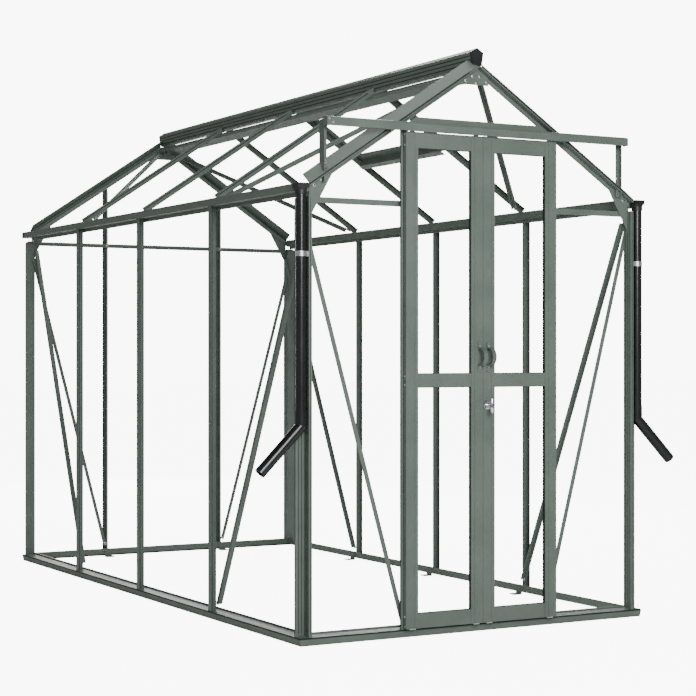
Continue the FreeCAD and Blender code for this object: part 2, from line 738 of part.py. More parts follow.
wheel_z = ledge_z + roller_radius + wheel_lift
for side_name, side in sides:
    meeting, outer = door_left_edge(side)
    inner_stile = meeting + side * stile_width
    outer_stile = outer - side * stile_width
    handle_x = side * (handle_inset if side < 0 else handle_inset + 5)
    handle = bow_handle(handle_x)
    stiles = [stile(outer, outer_stile), stile(meeting, inner_stile)]
    handle_holes = []
    for z in (-handle_screws / 2, handle_screws / 2):
        handle_holes.append(rod(V(handle_x, door_face - 1, handle_middle_z + z), V(0, 1, 0), 2.1, 6))
    for hole in handle_holes:
        stiles[1] = stiles[1].cut(hole)
    if side == 1:
        stiles[1] = stiles[1].cut(rod(V(lock_x, door_face - 1, lock_z), V(0, 1, 0), 6.0, door_thickness + 2))
    save(side_name + "_door_stiles", stiles)
    rails = [door_rail(inner_stile, outer_stile, door_top_z - top_rail_height, top_rail_height),
             door_rail(inner_stile, outer_stile, middle_rail_z, middle_rail_height),
             door_rail(inner_stile, outer_stile, door_bottom_z, bottom_rail_height)]
    save(side_name + "_door_rails", rails)
    save(side_name + "_door_handle", [handle])

    screw_heights = (handle_middle_z - handle_screws / 2, handle_middle_z + handle_screws / 2)
    fittings = [screw(handle_x, z, door_face - 3) for z in screw_heights]
    rails_at = ((door_top_z - top_rail_height, top_rail_height), (middle_rail_z, middle_rail_height),
                (door_bottom_z, bottom_rail_height))
    for rail_z, height in rails_at:
        for z in (rail_z + 8, rail_z + height - 8):
            place = V(outer, door_face + door_thickness / 2, z)
            fittings.append(rod(place, V(side, 0, 0), 3.6, 2.0))
    for x in (outer - side * roller_inset, meeting + side * roller_inset):
        skid = box((x - 11, x + 11), (door_back, door_face), (door_bottom_z - 3, door_bottom_z))
        fittings.append(skid)
    for name, x in (("outer", outer - side * roller_inset), ("inner", meeting + side * roller_inset)):
        hanger_y = wheel_y - roller_width / 2 - 0.6
        hanger = box((x - 7, x + 7), (hanger_y - 2, hanger_y), (door_top_z, wheel_z + 5))
        foot = box((x - 7, x + 7), (door_face, door_back), (door_top_z, door_top_z + 2))
        axle = rod(V(x, hanger_y, wheel_z), V(0, 1, 0), axle_radius, roller_width + 1.4)
        fittings.append(hanger.fuse(foot).fuse(axle))
        wheel = rod(V(x, wheel_y - roller_width / 2, wheel_z), V(0, 1, 0), roller_radius, roller_width)
        bore = rod(V(x, wheel_y - roller_width, wheel_z), V(0, 1, 0), axle_radius + axle_clear, 20)
        wheel = wheel.cut(bore)
        save(side_name + "_door_roller_" + name, [wheel])
    if side == 1:
        rose = rod(V(lock_x, door_face, lock_z), V(0, -1, 0), rose_radius, 5)
        rose_bore = rod(V(lock_x, door_face + 1, lock_z), V(0, -1, 0), spindle_radius + spindle_clear, 10)
        rose = rose.cut(rose_bore)
        fittings.append(rose)
    save(side_name + "_door_fittings", fittings)


def lock_knob():
    """A T knob on a spindle through the stile, with the cam that hooks behind the other door."""
    spindle_start = V(lock_x, door_face - knob_reach + 8, lock_z)
    spindle = rod(spindle_start, V(0, 1, 0), spindle_radius, knob_reach - 8 + door_thickness + 0.4)
    low, high = V(knob_tip, 0, -knob_half), V(knob_tip, 0, knob_half)
    curve = Part.Arc(low, V(knob_radius, 0, 0), high).toShape()
    axis_low, axis_high = V(0, 0, -knob_half), V(0, 0, knob_half)
    sides_of_grip = [curve, Part.makeLine(high, axis_high), Part.makeLine(axis_high, axis_low),
                     Part.makeLine(axis_low, low)]
    grip = Part.Face(Part.Wire(sides_of_grip)).revolve(V(0, 0, 0), V(0, 0, 1), 360)
    grip.translate(V(lock_x, door_face - knob_reach + knob_radius, lock_z))
    cam = box((lock_x - 6, lock_x + 6), (door_back + 0.4, door_back + 1.6), (lock_z - 6, lock_z + 26))
    return spindle.fuse(grip).fuse(cam)


save("lock_knob", [lock_knob()])


# ---- Roof vent ----
vent_low = bay_lines[vent_bay - 1] + 1
vent_high = bay_lines[vent_bay] - 1
vent_top_x = ridge_half + 3


def on_slope(x, depth):
    """A point of the right slope: over x, at a depth square to the roof plane."""
    return V(x, 0, roof_z(x, depth))


def slope_box(x0, x1, y0, y1, d0, d1):
    """A block on the right slope between two x, two y and two depths below the roof plane."""
    down = V(cos_roof, 0, -sin_roof)
    inwards = V(-sin_roof, 0, -cos_roof)
    start = on_slope(x0, 0) + V(0, y0, 0)
    length = (x1 - x0) / cos_roof
    return bar([(0, d0), (length, d0), (length, d1), (0, d1)], start, down, inwards, V(0, y1 - y0, 0))


rail_x = vent_rail * cos_roof
vent_depth = (-vent_gap - vent_thickness, -vent_gap)
vent_bars = [slope_box(vent_top_x, vent_top_x + rail_x, vent_low, vent_high, *vent_depth),
             slope_box(vent_foot_x - rail_x, vent_foot_x, vent_low, vent_high, *vent_depth)]
for y in (vent_low, vent_high - vent_rail):
    vent_bars.append(slope_box(vent_top_x + rail_x, vent_foot_x - rail_x, y, y + vent_rail, *vent_depth))

into_roof = V(-sin_roof, 0, -cos_roof)
hinge_axis = on_slope(vent_top_x, 0) + into_roof * (sum(vent_depth) / 2) + V(0, vent_low, 0)
vent_bars.append(rod(hinge_axis, V(0, 1, 0), hinge_radius, vent_high - vent_low))

# The stay swings on a pin between two ears under the vent's bottom rail.
stay_x = vent_foot_x - rail_x / 2
stay_y = bay_lines[vent_bay - 1] + stay_inset
pivot_y = stay_y + stay_length
down_slope = V(cos_roof, 0, -sin_roof)
pivot = on_slope(stay_x, 0) + into_roof * knuckle_radius + V(0, pivot_y, 0)
ear = 2.0
knuckle = 12.0
for offset in (-knuckle / 2 - ear - 0.3, knuckle / 2 + 0.3):
    start = pivot + down_slope * offset - into_roof * (knuckle_radius + vent_gap) - V(0, 3, 0)
    ear_section = [(0, 0), (6, 0), (6, 5.5), (0, 5.5)]
    vent_bars.append(bar(ear_section, start, V(0, 1, 0), into_roof, down_slope * ear))
vent_bars.append(rod(pivot - down_slope * (knuckle / 2 + ear), down_slope, pin_radius, knuckle + 2 * ear))
vent = vent_bars[0]
for piece in vent_bars[1:]:
    vent = vent.fuse(piece)
save("roof_vent", [vent])

stay_depth = (knuckle_radius - 1.3, knuckle_radius + 1.2)
stay = slope_box(stay_x - 5, stay_x + 5, stay_y, pivot_y, *stay_depth)
for step in range(4):
    hole = on_slope(stay_x, -5) + V(0, stay_y + 20 + step * 40, 0)
    stay = stay.cut(rod(hole, V(-sin_roof, 0, -cos_roof), 2.6, 20))
stay = stay.fuse(rod(pivot - down_slope * (knuckle / 2), down_slope, knuckle_radius, knuckle))
stay = stay.cut(rod(pivot - down_slope * knuckle, down_slope, pin_radius + pin_clear, 2 * knuckle))
save("vent_stay", [stay])

sill_x = vent_foot_x + 2
sill_side = roof_bar_width / 2
sill = slope_box(sill_x, sill_x + 26, vent_low, vent_high, -3, 0)
lip_low = vent_low - 1 + sill_side
lip_high = vent_high + 1 - sill_side
sill = sill.fuse(slope_box(sill_x, sill_x + 3, lip_low, lip_high, -1, sill_lip))
sill = sill.fuse(slope_box(sill_x, sill_x + 18, lip_low, lip_high, sill_lip - 2, sill_lip))
save("vent_sill", [sill])
peg_y = stay_y + 27.5
pegs = slope_box(sill_x + 4, sill_x + 14, peg_y - 14, peg_y + 14, -5, -3)
for offset in (-9, 9):
    peg = on_slope(sill_x + 9, -4) + V(0, peg_y + offset, 0)
    pegs = pegs.fuse(rod(peg, V(sin_roof, 0, cos_roof), 2.4, 12))


# ---- Bolts and the stay's pegs ----
bolts = [pegs]
for _, end in ends:
    out = V(0, -end, 0)
    y = end_y(end) + end * plate_face
    for _, side in sides:
        for x in gusset_bolts_x:
            bolts.append(bolt(V(side * x, y, roof_z(x, gusset_bolt_line)), out))
    for x, z in apex_bolts:
        bolts.append(bolt(V(x, y, z), out))
for _, side in sides:
    place = V(side * gable_stud_x, rear - stud_back - brace_wall, transom_z + transom_height / 2)
    bolts.append(bolt(place, V(0, -1, 0)))
for place in bracket_bolts:
    bolts.append(bolt(place, V(0, -1, 0)))
for place, out in brace_bolts:
    bolts.append(bolt(place, out))
save("frame_bolts", bolts)
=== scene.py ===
# %% [markdown]
# # A narrow greenhouse frame, finished in Blender
# The shapes of the bars, doors, vent and gutters arrive as a fixed frame in metres, +Z up, with the
# doors facing -Y. This file gives every bar its real finish and adds what a drawing of the metalwork
# leaves out: rubber door brushes, washers, end plates, rounded handles and a turned lock. It also adds
# black strips and inlays of painted shade along bar edges and in grooves, openings, sockets and
# keyhole.

# %% Load the frame
import math

import bmesh
import bpy
from mathutils import Matrix, Vector


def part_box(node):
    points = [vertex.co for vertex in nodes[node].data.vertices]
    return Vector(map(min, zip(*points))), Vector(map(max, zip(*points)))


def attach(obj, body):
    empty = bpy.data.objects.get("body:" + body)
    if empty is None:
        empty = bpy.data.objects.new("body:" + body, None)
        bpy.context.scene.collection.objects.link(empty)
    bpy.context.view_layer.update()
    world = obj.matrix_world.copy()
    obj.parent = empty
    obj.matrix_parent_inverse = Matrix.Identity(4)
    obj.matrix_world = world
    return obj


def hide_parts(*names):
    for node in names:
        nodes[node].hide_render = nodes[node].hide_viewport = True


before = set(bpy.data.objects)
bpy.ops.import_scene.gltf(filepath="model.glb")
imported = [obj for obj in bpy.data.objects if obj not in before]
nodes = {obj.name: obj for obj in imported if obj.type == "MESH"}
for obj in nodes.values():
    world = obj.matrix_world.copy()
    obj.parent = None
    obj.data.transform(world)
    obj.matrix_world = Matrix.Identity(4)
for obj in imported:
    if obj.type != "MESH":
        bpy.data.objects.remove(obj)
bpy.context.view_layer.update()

MM = 0.001
print("bars and parts loaded:", len(nodes))

# %% [markdown]
# Colours are easiest to read as the hex values of a paint chart. Blender's shaders want linear light,
# so one function turns a hex value into it. The others build a finish out of shader nodes.

# %% Colours and a node helper
def linear(hex_value):
    """An sRGB hex colour such as "6F7A72" as linear RGBA."""
    out = []
    for start in (0, 2, 4):
        c = int(hex_value[start:start + 2], 16) / 255
        out.append(c / 12.92 if c <= 0.04045 else ((c + 0.055) / 1.055) ** 2.4)
    return (*out, 1.0)


def add_node(tree, kind, values=None, links=None, **settings):
    """One shader node with its settings, socket values and incoming links."""
    made = tree.nodes.new(kind)
    for name, value in settings.items():
        setattr(made, name, value)
    for socket, value in (values or {}).items():
        made.inputs[socket].default_value = value
    for socket, source in (links or {}).items():
        tree.links.new(source, made.inputs[socket])
    return made


def start_material(name):
    """A material with its tree, its shader and its object coordinates."""
    material = bpy.data.materials.new(name)
    material.use_nodes = True
    tree = material.node_tree
    shader = next(n for n in tree.nodes if n.type == "BSDF_PRINCIPLED")
    place = add_node(tree, "ShaderNodeTexCoord").outputs["Object"]
    return material, tree, shader, place


def surface(name, dark, light, cloud_mm, grain_mm, depth_mm, rough, metallic=0.0,
            stretch=(1, 1, 1), strength=0.2):
    """A finish: a slow cloud in colour and roughness, and a finer grain in the bump."""
    material, tree, shader, place = start_material(name)
    cloud = add_node(tree, "ShaderNodeTexNoise", {"Scale": 1 / (cloud_mm * MM), "Detail": 3.0},
                     {"Vector": place}).outputs["Fac"]
    ramp = add_node(tree, "ShaderNodeValToRGB", links={"Fac": cloud})
    for element, position, colour in zip(ramp.color_ramp.elements, (0.35, 0.65), (dark, light)):
        element.position = position
        element.color = linear(colour)
    gloss = add_node(tree, "ShaderNodeMapRange", {"To Min": rough[0], "To Max": rough[1]},
                     {"Value": cloud})
    stretched = add_node(tree, "ShaderNodeMapping", {"Scale": stretch}, {"Vector": place})
    grain = add_node(tree, "ShaderNodeTexNoise", {"Scale": 1 / (grain_mm * MM), "Detail": 2.0},
                     {"Vector": stretched.outputs["Vector"]})
    bump = add_node(tree, "ShaderNodeBump", {"Strength": strength, "Distance": depth_mm * MM},
                    {"Height": grain.outputs["Fac"]})
    tree.links.new(ramp.outputs["Color"], shader.inputs["Base Color"])
    tree.links.new(gloss.outputs["Result"], shader.inputs["Roughness"])
    tree.links.new(bump.outputs["Normal"], shader.inputs["Normal"])
    shader.inputs["Metallic"].default_value = metallic
    print("finish:", name, "cloud", cloud_mm, "mm, grain", grain_mm, "mm")
    return material, shader


# %% [markdown]
# Powder coat is polyester powder, sprayed on dry aluminium and baked. It melts into a satin skin with a
# faint orange peel, a ripple a millimetre or two across. The eye reads it from soft, slightly broken
# highlights, so the ripple goes into the bump and a slower cloud goes into colour and roughness.

# %% Powder-coated aluminium
coat, coat_shader = surface("Powder_coated_aluminium_sage", "5E6A62", "66726A", 110, 2.5, 0.03,
                            (0.4, 0.5))
coat_shader.inputs["Specular IOR Level"].default_value = 0.45

# %% [markdown]
# The rainwater pipes are extruded PVC: smooth along their length, with faint draw lines, glossy enough
# to carry one long highlight. The ridge caps and gutter ends are injection moulded in polypropylene,
# which has a finer, duller grain; the same black also paints the shade in the keyhole and bolt sockets.
# The door brushes are extruded EPDM rubber, nearly black and quite matt, and the same black paints the
# shade along bar edges and in grooves, flutes and door openings.

# %% Black plastics, rubber, painted shade and nylon
pipe_black, _ = surface("Extruded_PVC_black", "101213", "17191B", 60, 3.0, 0.03, (0.22, 0.3),
                        stretch=(1, 1, 0.05))
moulded_black_and_shade, _ = surface("Moulded_polypropylene_black_and_painted_shade", "141617", "1B1E1F", 40, 1.2, 0.03,
                           (0.42, 0.55))
rubber_and_shade_black, _ = surface("EPDM_rubber_and_painted_shade_black", "0C0D0E", "121416", 30, 1.5, 0.05,
                         (0.6, 0.75))
roller_nylon, _ = surface("Moulded_nylon_natural", "B9B6A8", "C9C6BA", 20, 1.0, 0.1, (0.4, 0.5))

# %% [markdown]
# Bolts, clips and hangers are zinc plated steel: a pale metal with a soft, slightly patchy shine. The
# lock and the vent stay are chrome plated and polished, so they mirror the room with hardly any blur.

# %% Bright metals
zinc, _ = surface("Zinc_plated_steel_bright", "C4C6C8", "DCDEE0", 8, 0.8, 0.02, (0.28, 0.4),
                  metallic=1.0)
chrome, _ = surface("Chrome_plated_brass_polished", "D2D4D6", "E2E4E6", 25, 2.0, 0.05,
                    (0.08, 0.14), metallic=1.0, strength=0.08)

# %% [markdown]
# Every carried-over bar keeps its shape and only changes its finish. The name of a bar says which
# finish it has, so a short table does the work. What the table doesn't name is powder coated.

# %% Give each bar its finish
finish_words = (("downpipe", pipe_black), ("ridge_end_caps", moulded_black_and_shade),
                ("gutter_end", moulded_black_and_shade), ("roller", roller_nylon), ("bolts", zinc),
                ("clips", zinc), ("door_fittings", zinc), ("vent_stay", chrome), ("lock", chrome))
counts = {}
for name, bar in nodes.items():
    finish = next((material for word, material in finish_words if word in name), coat)
    for held in bar.material_slots:
        held.material = finish
    counts[finish.name] = counts.get(finish.name, 0) + 1
print(counts)

# %% [markdown]
# Small straight pieces, such as seals, are all one thing: a block stretched between two points. The
# block starts as a cube, and one matrix carries its length, its width and its height. Its long edges
# are then bevelled, because extruded rubber has no sharp corners.

# %% Tools for small pieces
ROUNDING = {"segments": 2, "profile": 0.5, "affect": "EDGES", "material": -1}


def corners(box):
    """The low and the high corner of a box as vectors."""
    return [Vector(corner) for corner in box]


def strip(mesh, start, end, side, out, width, height, round_off=0.0):
    """A bar from start to end, width across side and height along out, standing on the line."""
    start, end = Vector(start), Vector(end)
    side, out = Vector(side).normalized(), Vector(out).normalized()
    run = end - start
    matrix = Matrix((run, side * width, out * height)).transposed().to_4x4()
    matrix.translation = (start + end) / 2 + out * (height / 2)
    made = bmesh.ops.create_cube(mesh, size=1.0, matrix=matrix)["verts"]
    if round_off:
        way = run.normalized()
        edges = dict.fromkeys(e for v in made for e in v.link_edges)
        long_edges = [e for e in edges
                      if abs((e.verts[1].co - e.verts[0].co).normalized().dot(way)) > 0.99]
        bmesh.ops.bevel(mesh, geom=long_edges, offset=round_off, **ROUNDING)


def disc(mesh, centre, axis, radius, height, sides=24, bevel=0.0):
    """A low cylinder standing on centre along axis, its far rim bevelled."""
    centre, axis = Vector(centre), Vector(axis).normalized()
    matrix = axis.to_track_quat("Z", "Y").to_matrix().to_4x4()
    matrix.translation = centre + axis * (height / 2)
    made = bmesh.ops.create_cone(mesh, cap_ends=True, segments=sides, radius1=radius,
                                 radius2=radius, depth=height, matrix=matrix)["verts"]
    if bevel:
        far = {v for v in made if (v.co - centre).dot(axis) > height * 0.9}
        rim = dict.fromkeys(e for v in made if v in far
                            for e in v.link_edges if e.other_vert(v) in far)
        bmesh.ops.bevel(mesh, geom=list(rim), offset=bevel, **ROUNDING)


def place_object(name, data):
    """An object that holds the data, linked into the scene."""
    made = bpy.data.objects.new(name, data)
    bpy.context.scene.collection.objects.link(made)
    return made


def finish_piece(name, mesh, material, body):
    """Turn a bmesh into a piece at the origin that rides on a body."""
    bmesh.ops.recalc_face_normals(mesh, faces=mesh.faces[:])
    data = bpy.data.meshes.new(name)
    mesh.to_mesh(data)
    mesh.free()
    piece = place_object(name, data)
    data.materials.append(material)
    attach(piece, body)
    print(name, "faces:", len(data.polygons))
    return piece


# %% [markdown]
# The glazing bars hold their panes between rubber lips. Seen from outside, each bar is a pale strip
# with a dark line of shade down both edges, under its flange. Here the lips are black strips of painted
# shade tucked under the bar's flange, standing a hair past its edge.

# %% Painted shade lips on the wall bars
SIDES = (("left", -1), ("right", 1))
lip_wide, lip_deep, lip_round = 3.2 * MM, 2.6 * MM, 0.7 * MM
lip_past_edge, tuck = 0.6 * MM, 2.5 * MM
stud_half = 11.5 * MM
stud_foot_gap, side_head_gap, rear_head_gap = 4 * MM, 1 * MM, 16 * MM


def lip_lines(line, half):
    """Where the two lips of a bar lie, either side of its centre line."""
    return [line + edge * (half - lip_wide / 2 + lip_past_edge) for edge in (-1, 1)]


# black lips of painted shade down both edges of each wall bar
wall_shade_lips = bmesh.new()
for side_name, side in SIDES:
    for number in (1, 2, 3):
        low, high = corners(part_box("stud_" + side_name + "_" + str(number)))
        x = side * (max(abs(low.x), abs(high.x)) - tuck)
        for y in lip_lines((low.y + high.y) / 2, stud_half):
            strip(wall_shade_lips, (x, y, low.z + stud_foot_gap), (x, y, high.z - side_head_gap),
                  (0, 1, 0), (-side, 0, 0), lip_wide, lip_deep, lip_round)
low, high = corners(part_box("rear_studs"))
y = high.y - tuck
for side in (-1, 1):
    for x in lip_lines(side * (max(abs(low.x), abs(high.x)) - stud_half), stud_half):
        strip(wall_shade_lips, (x, y, low.z + stud_foot_gap), (x, y, high.z - rear_head_gap),
              (1, 0, 0), (0, -1, 0), lip_wide, lip_deep, lip_round)
finish_piece("wall_bar_shade_lips", wall_shade_lips, rubber_and_shade_black, "frame")

# %% [markdown]
# The roof bars have the same black lips of painted shade, but they lie along the slope. The outer faces
# of the two slopes would meet in one line, the roof's peak, so a point's height follows from its
# distance to the middle.

# %% Painted shade lips on the roof bars
slope = math.radians(33.5)
roof_peak = 1812 * MM
bar_half = 14 * MM
ridge_gap, eaves_gap = 46 * MM, 2 * MM


def roof_out(side):
    """The way that a slope of the roof faces."""
    return Vector((side * math.sin(slope), 0, math.cos(slope)))


# black lips of painted shade down both edges of each roof bar
roof_shade_lips = bmesh.new()
for side_name, side in SIDES:
    out = roof_out(side)
    for number in (1, 2, 3):
        low, high = corners(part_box("roof_bar_" + side_name + "_" + str(number)))
        reach = max(abs(low.x), abs(high.x))
        for y in lip_lines((low.y + high.y) / 2, bar_half):
            start, end = [Vector((side * x, y, roof_peak - x * math.tan(slope)))
                          - out * (tuck + lip_deep) for x in (ridge_gap, reach - eaves_gap)]
            strip(roof_shade_lips, start, end, (0, 1, 0), out, lip_wide, lip_deep, lip_round)
finish_piece("roof_bar_shade_lips", roof_shade_lips, rubber_and_shade_black, "frame")

# %% [markdown]
# The gable rafters and the base each have one open groove, dark with shade. A black strip of painted
# shade fills the groove to just below its lips and gives the crisp black line that runs along them.

# %% Painted shade in the grooves of the rafters and the base
gable_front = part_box("base_front")[0][1]
gable_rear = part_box("base_rear")[1][1]
base_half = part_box("base_right")[1][0]
GABLES = ((gable_front, 1), (gable_rear, -1))

rafter_under = roof_peak - 38.4 * MM / math.cos(slope)
rafter_groove, rafter_inset = 19 * MM, 1 * MM
rafter_head_x, rafter_foot_x = 30 * MM, 596 * MM
cord_wide, cord_high, cord_round = 3.2 * MM, 4.2 * MM, 0.5 * MM
# black strips of painted shade in the rafter and base grooves
groove_shade_strips = bmesh.new()
for side in (-1, 1):
    out = roof_out(side)
    for face, inwards in GABLES:
        start, end = [Vector((side * x, face + inwards * rafter_inset,
                              rafter_under - x * math.tan(slope)))
                      + out * (rafter_groove - cord_high / 2)
                      for x in (rafter_head_x, rafter_foot_x)]
        strip(groove_shade_strips, start, end, (0, 1, 0), out, cord_wide, cord_high, cord_round)

bead_z, bead_inset, bead_end = 20.4 * MM, 0.9 * MM, 1 * MM
bead_size = (3.4 * MM, 4.6 * MM, 0.6 * MM)
for side in (-1, 1):
    x = side * (base_half - bead_inset)
    strip(groove_shade_strips, (x, gable_front + bead_end, bead_z), (x, gable_rear - bead_end, bead_z),
          (1, 0, 0), (0, 0, 1), *bead_size)
for face, inwards in GABLES:
    y = face + inwards * bead_inset
    strip(groove_shade_strips, (bead_end - base_half, y, bead_z), (base_half - bead_end, y, bead_z),
          (0, 1, 0), (0, 0, 1), *bead_size)
finish_piece("groove_shade_strips", groove_shade_strips, rubber_and_shade_black, "frame")

# %% [markdown]
# The ridge has three fine grooves down each side, dark with shade, and each holds a black cord of
# painted shade. The groove runs along the ridge, and its distance from the middle narrows as the side
# slopes in.

# %% Ridge cords of painted shade
ridge_low, ridge_high = corners(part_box("ridge_beam"))
shoulder_x, shoulder_z = 23.5 * MM, ridge_high.z - 15 * MM
waist_x, waist_z = 17 * MM, ridge_high.z - 55 * MM
ridge_cord_size = (1.8 * MM, 2.8 * MM, 0.6 * MM)
# black cords of painted shade in the ridge grooves
ridge_shade_cords = bmesh.new()
for side in (-1, 1):
    for drop in (12 * MM, 24 * MM, 36 * MM):
        x = side * (shoulder_x - (shoulder_x - waist_x) * drop / (shoulder_z - waist_z))
        z = shoulder_z - drop - 0.4 * MM
        strip(ridge_shade_cords, (x, ridge_low.y + 1 * MM, z), (x, ridge_high.y - 1 * MM, z),
              (1, 0, 0), (0, 0, 1), *ridge_cord_size)
finish_piece("ridge_shade_cords", ridge_shade_cords, rubber_and_shade_black, "frame")

# %% [markdown]
# Each door panel opening has a thin black strip of painted shade on the inner faces of its stiles and
# rails. The strip is set back from the front, so it darkens the inner faces of the openings with
# painted shade and leaves the front edges clean.

# %% Painted shade in the door openings
opening_heights = ((74 * MM, 772 * MM), (815 * MM, 1512 * MM))
stile_width = 44 * MM
channel_front, channel_back = 3 * MM, 13 * MM
channel_size = (channel_back - channel_front, 1.4 * MM, 0.3 * MM)
for side_name, _ in SIDES:
    low, high = corners(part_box(side_name + "_door_stiles"))
    x0, x1 = low.x + stile_width, high.x - stile_width
    y = low.y + (channel_front + channel_back) / 2
    # black strips of painted shade inside this door's openings
    channel = bmesh.new()
    for z0, z1 in opening_heights:
        for x, way in ((x0, 1), (x1, -1)):
            strip(channel, (x, y, z0), (x, y, z1), (0, 1, 0), (way, 0, 0), *channel_size)
        for z, way in ((z0, 1), (z1, -1)):
            strip(channel, (x0, y, z), (x1, y, z), (0, 1, 0), (0, 0, way), *channel_size)
    finish_piece(side_name + "_door_opening_shade", channel, rubber_and_shade_black, side_name + "_door")

# %% [markdown]
# The sliding track is a long extrusion. Folded plates close its cut ends, side flanges stiffen the two
# hangers that carry it, and bolts hold it to them. Small as they are, they decide how the end reads.

# %% Track end plates and hanger flanges
track_low, track_high = corners(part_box("door_track"))
hanger_low, hanger_high = corners(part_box("track_brackets"))
plate, plate_round = 1.6 * MM, 0.5 * MM
plate_head_gap, plate_wide = 2.4 * MM, track_high.y - track_low.y - 0.6 * MM
flange_wide = 18 * MM
flange_foot = roof_peak - hanger_high.x * math.tan(slope) + 12 * MM
track_y = (track_low.y + track_high.y) / 2
flange_y = hanger_high.y + flange_wide / 2
plates = bmesh.new()
for side in (-1, 1):
    x = side * track_high.x
    strip(plates, (x, track_y, track_low.z), (x, track_y, track_high.z - plate_head_gap),
          (0, 1, 0), (side, 0, 0), plate_wide, plate, plate_round)
    x = side * (hanger_high.x - plate)
    strip(plates, (x, flange_y, flange_foot), (x, flange_y, hanger_high.z),
          (0, 1, 0), (side, 0, 0), flange_wide, plate, plate_round)
finish_piece("track_end_plates", plates, coat, "frame")

# %% [markdown]
# Two bolts show on the left end of the track. A third hangs below its middle, between the doors.

# %% Track bolts
track_bolts = bmesh.new()
for inset, drop in ((5 * MM, 8 * MM), (19 * MM, 19 * MM)):
    spot = (track_low.x + inset, track_low.y, track_high.z - drop)
    disc(track_bolts, spot, (0, -1, 0), 3.4 * MM, 1.8 * MM, bevel=0.7 * MM)
disc(track_bolts, (0, track_low.y + 3 * MM, track_low.z), (0, 0, -1), 3.2 * MM, 4.0 * MM,
     bevel=0.6 * MM)
finish_piece("track_bolts", track_bolts, zinc, "frame")

# %% [markdown]
# The corner posts are fluted: fine grooves run the whole height of their faces. A dark cord of painted
# shade lies in each flute, so that it reads as a crisp line of shade and not as a soft dent.

# %% Painted shade in the flutes of the corner posts
flute_foot, flute_head = 37 * MM, 1346 * MM
flute_wide, flute_proud = 1.5 * MM, 0.35 * MM
post_outer_x, notch_x, lobe_x, post_inner_x = 640 * MM, 611 * MM, 605.5 * MM, 600 * MM
step_back = 33 * MM
flute_shade = bmesh.new()


def flute(x, y, out, proud=flute_proud):
    """A dark cord of painted shade up the whole height of a post, standing proud along out."""
    across = (abs(out[1]), abs(out[0]), 0)
    strip(flute_shade, (x, y, flute_foot), (x, y, flute_head), across, out, flute_wide, proud)


for side in (-1, 1):
    for face, inwards in GABLES:
        for depth in (11, 21, 31):
            flute(side * (post_inner_x + 0.4 * MM), face + inwards * depth * MM, (-side, 0, 0))
        for depth in (9, 16, 24):
            flute(side * notch_x, face + inwards * depth * MM, (side, 0, 0))
        flute(side * post_outer_x, face + inwards * 37 * MM, (side, 0, 0))
        flute(side * lobe_x, face + inwards * 2 * MM, (0, -inwards, 0))
        for x in (620, 630):
            flute(side * x * MM, face + inwards * (step_back + 0.7 * MM), (0, -inwards, 0),
                  flute_proud + 0.7 * MM)
finish_piece("corner_post_flute_shade", flute_shade, rubber_and_shade_black, "frame")

# %% [markdown]
# Each angle brace is bolted through one leg. The other leg stiffens it, and it runs on past the bolts
# almost to the end, where it stops short so that it clears the base.

# %% Ends of the angle braces
brace_leg, brace_wall = 15 * MM, 2 * MM
brace_head_gap, brace_end, brace_foot_gap = 14 * MM, 60 * MM, 6 * MM
brace_foot_z = 46 * MM
brace_runs = []
for side in (-1, 1):
    for face, inwards, bay, foot_x in ((gable_front, 1, -591.5 * MM, 271 * MM),
                                       (gable_rear, -1, 648.5 * MM, 279 * MM)):
        in_wall = (Vector((side * 599.4 * MM, face + inwards * 32 * MM, 1322 * MM)),
                   Vector((side * 616 * MM, bay - inwards * 9 * MM, brace_foot_z)),
                   Vector((side, 0, 0)))
        in_gable = (Vector((side * 608 * MM, face + inwards * 42 * MM, 1279 * MM)),
                    Vector((side * foot_x, face + inwards * 25 * MM, brace_foot_z)),
                    Vector((0, -inwards, 0)))
        brace_runs += [in_wall, in_gable]
flange_ends = bmesh.new()
for top, foot, face_out in brace_runs:
    along = (foot - top).normalized()
    length = (foot - top).length
    across = along.cross(face_out).normalized()
    corner = top - across * (brace_leg / 2 - brace_wall / 2) - face_out * brace_wall
    for near, far in ((brace_head_gap, brace_end), (length - brace_end, length - brace_foot_gap)):
        strip(flange_ends, corner + along * near, corner + along * far, across, -face_out,
              brace_wall, brace_leg - brace_wall, 0.3 * MM)
finish_piece("brace_flange_ends", flange_ends, coat, "frame")

# %% [markdown]
# Handles are touched all day, so their edges are rounded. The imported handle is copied, its loose
# triangles are merged back into flat faces, and a bevel rounds every real edge.

# %% Rounded bow handles
handle_rounding = 1.4 * MM


def rounded_copy(name, source, material, body):
    """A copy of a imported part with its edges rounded, which stands for it."""
    mesh = bmesh.new()
    mesh.from_mesh(nodes[source].data)
    bmesh.ops.remove_doubles(mesh, verts=mesh.verts[:], dist=0.00002)
    bmesh.ops.dissolve_limit(mesh, angle_limit=math.radians(4), verts=mesh.verts[:],
                             edges=mesh.edges[:])
    piece = finish_piece(name, mesh, material, body)
    bevel = piece.modifiers.new("rounded edges", "BEVEL")
    bevel.width = handle_rounding
    bevel.segments = 3
    bevel.limit_method = "ANGLE"
    bevel.angle_limit = math.radians(40)
    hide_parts(source)


for side_name, _ in SIDES:
    rounded_copy(side_name + "_bow_handle", side_name + "_door_handle", coat, side_name + "_door")

# %% [markdown]
# The lock is turned brass, chrome plated. A lathe shape is a half outline spun round an axis, so the
# stem and the rose are one spin each. The grip is a sphere scaled to a flat oval, and a bar behind the
# door is its cam. Each outline lists a radius and a distance out of the door, in millimetres.

# %% The lock's stem, grip and cam
knob_low, knob_high = corners(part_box("lock_knob"))
lock_z = 714 * MM
door_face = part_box("right_door_stiles")[0][1]
lock_centre = Vector(((knob_low.x + knob_high.x) / 2, door_face, lock_z))


